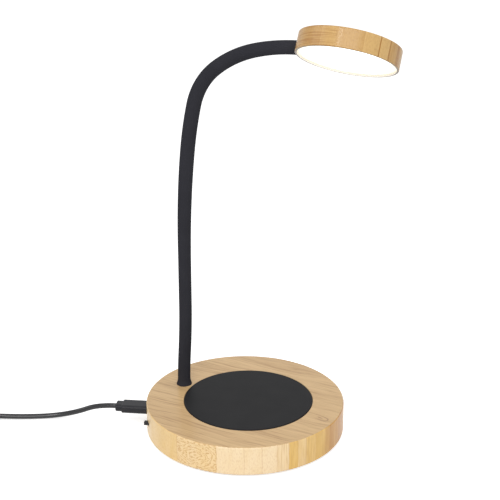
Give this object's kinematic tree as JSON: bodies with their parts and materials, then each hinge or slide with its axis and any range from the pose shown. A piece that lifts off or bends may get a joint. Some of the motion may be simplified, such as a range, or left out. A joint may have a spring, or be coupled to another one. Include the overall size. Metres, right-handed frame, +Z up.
{
  "type": "mug warmer lamp",
  "caption": "Round bamboo mug warmer with a black heating plate, a bendable black neck that carries a round bamboo lamp head, a slide switch and a pull-out lead.",
  "frame": {"origin": "on the table under the middle of the base, on the underside of the non-slip pad", "axes": "+Z up, +X from the neck's foot across the plate towards the lamp head"},
  "size_m": [0.2669, 0.2251, 0.2566],
  "materials": {
    "bamboo": "laminated bamboo, clear satin lacquer",
    "plate_coating": "black satin heat-proof coating on aluminium",
    "silicone": "black matte silicone rubber",
    "film": "amber polyimide heater film",
    "sensor": "black resin bead",
    "foam": "white insulating felt",
    "steel": "bright zinc plate",
    "black_plastic": "black moulded plastic",
    "board": "green solder mask",
    "plated_steel": "nickel plate",
    "board_metal": "white-coated aluminium circuit board",
    "led": "yellow phosphor",
    "diffuser": "opal plastic, lit from behind",
    "lead_rubber": "black flexible plastic, satin"
  },
  "bodies": {
    "base": {"base_body": "bamboo", "heating_plate": "plate_coating", "plate_gasket": "silicone", "heater_film": "film", "temperature_sensor": "sensor", "insulation_pad": "foam", "heater_retainer": "steel", "retainer_screws": "steel", "bottom_cover": "black_plastic", "cover_screws": "steel", "ballast_plate": "steel", "non_slip_pad": "silicone", "neck_stud": "steel", "neck_washer": "steel", "neck_nut": "steel", "control_board": "board", "board_parts": "black_plastic", "board_screws": "steel", "usb_socket": "plated_steel", "switch_body": "plated_steel", "neck_sleeve_0": "silicone", "neck_core_0": "steel"},
    "switch": {"switch_knob": "black_plastic"},
    "neck_1": {"neck_sleeve_1": "silicone", "neck_core_1": "steel"},
    "neck_2": {"neck_sleeve_2": "silicone", "neck_core_2": "steel"},
    "neck_3": {"neck_sleeve_3": "silicone", "neck_core_3": "steel"},
    "neck_4": {"neck_sleeve_4": "silicone", "neck_core_4": "steel"},
    "neck_5": {"neck_sleeve_5": "silicone", "neck_core_5": "steel"},
    "neck_6": {"neck_sleeve_6": "silicone", "neck_core_6": "steel"},
    "neck_7": {"neck_sleeve_7": "silicone", "neck_core_7": "steel"},
    "neck_8": {"neck_sleeve_8": "silicone", "neck_core_8": "steel", "head_stud": "steel"},
    "head": {"head_shell": "bamboo", "head_grub_screw": "steel", "led_board": "board_metal", "leds": "led", "diffuser": "diffuser"},
    "lead": {"usb_plug": "lead_rubber", "usb_plug_tip": "plated_steel", "lead_cord": "lead_rubber", "lead_coil": "lead_rubber", "lead_tie": "lead_rubber", "host_plug": "lead_rubber", "host_plug_shell": "plated_steel"}
  },
  "joints": [
    {"name": "neck_bend_1", "type": "hinge", "parent": "base", "child": "neck_1", "pos_m": [-0.04243, 0, 0.04098], "axis": [0, 1, 0], "range_deg": [-15, 15]},
    {"name": "neck_sway_2", "type": "hinge", "parent": "neck_1", "child": "neck_2", "pos_m": [-0.04125, 0, 0.07495], "axis": [-1, 0, 0], "range_deg": [-15, 15]},
    {"name": "neck_bend_3", "type": "hinge", "parent": "neck_2", "child": "neck_3", "pos_m": [-0.04119, 0, 0.10895], "axis": [0, 1, 0], "range_deg": [-15, 15]},
    {"name": "neck_sway_4", "type": "hinge", "parent": "neck_3", "child": "neck_4", "pos_m": [-0.04027, 0, 0.14094], "axis": [-0.9985, 0, 0.0541], "range_deg": [-15, 15]},
    {"name": "neck_bend_5", "type": "hinge", "parent": "neck_4", "child": "neck_5", "pos_m": [-0.03781, 0, 0.17083], "axis": [0, 1, 0], "range_deg": [-20, 15]},
    {"name": "neck_bend_6", "type": "hinge", "parent": "neck_5", "child": "neck_6", "pos_m": [-0.03312, 0, 0.19842], "axis": [0, 1, 0], "range_deg": [-30, 15]},
    {"name": "neck_sway_7", "type": "hinge", "parent": "neck_6", "child": "neck_7", "pos_m": [-0.01836, 0, 0.22158], "axis": [-0.6157, 0, 0.788], "range_deg": [-20, 20]},
    {"name": "neck_bend_8", "type": "hinge", "parent": "neck_7", "child": "neck_8", "pos_m": [0.00648, 0, 0.23411], "axis": [0, 1, 0], "range_deg": [-25, 20]},
    {"name": "head_turn", "type": "hinge", "parent": "neck_8", "child": "head", "pos_m": [0.03411, 0, 0.23821], "axis": [0.9997, 0, 0.0244], "range_deg": [-45, 45]},
    {"name": "switch_slide", "type": "slide", "parent": "base", "child": "switch", "axis": [0.3746, -0.9272, 0], "range_m": [0, 0.002]},
    {"name": "plug_pull", "type": "slide", "parent": "base", "child": "lead", "axis": [-0.9272, -0.3746, 0], "range_m": [0, 0.012]}
  ]
}
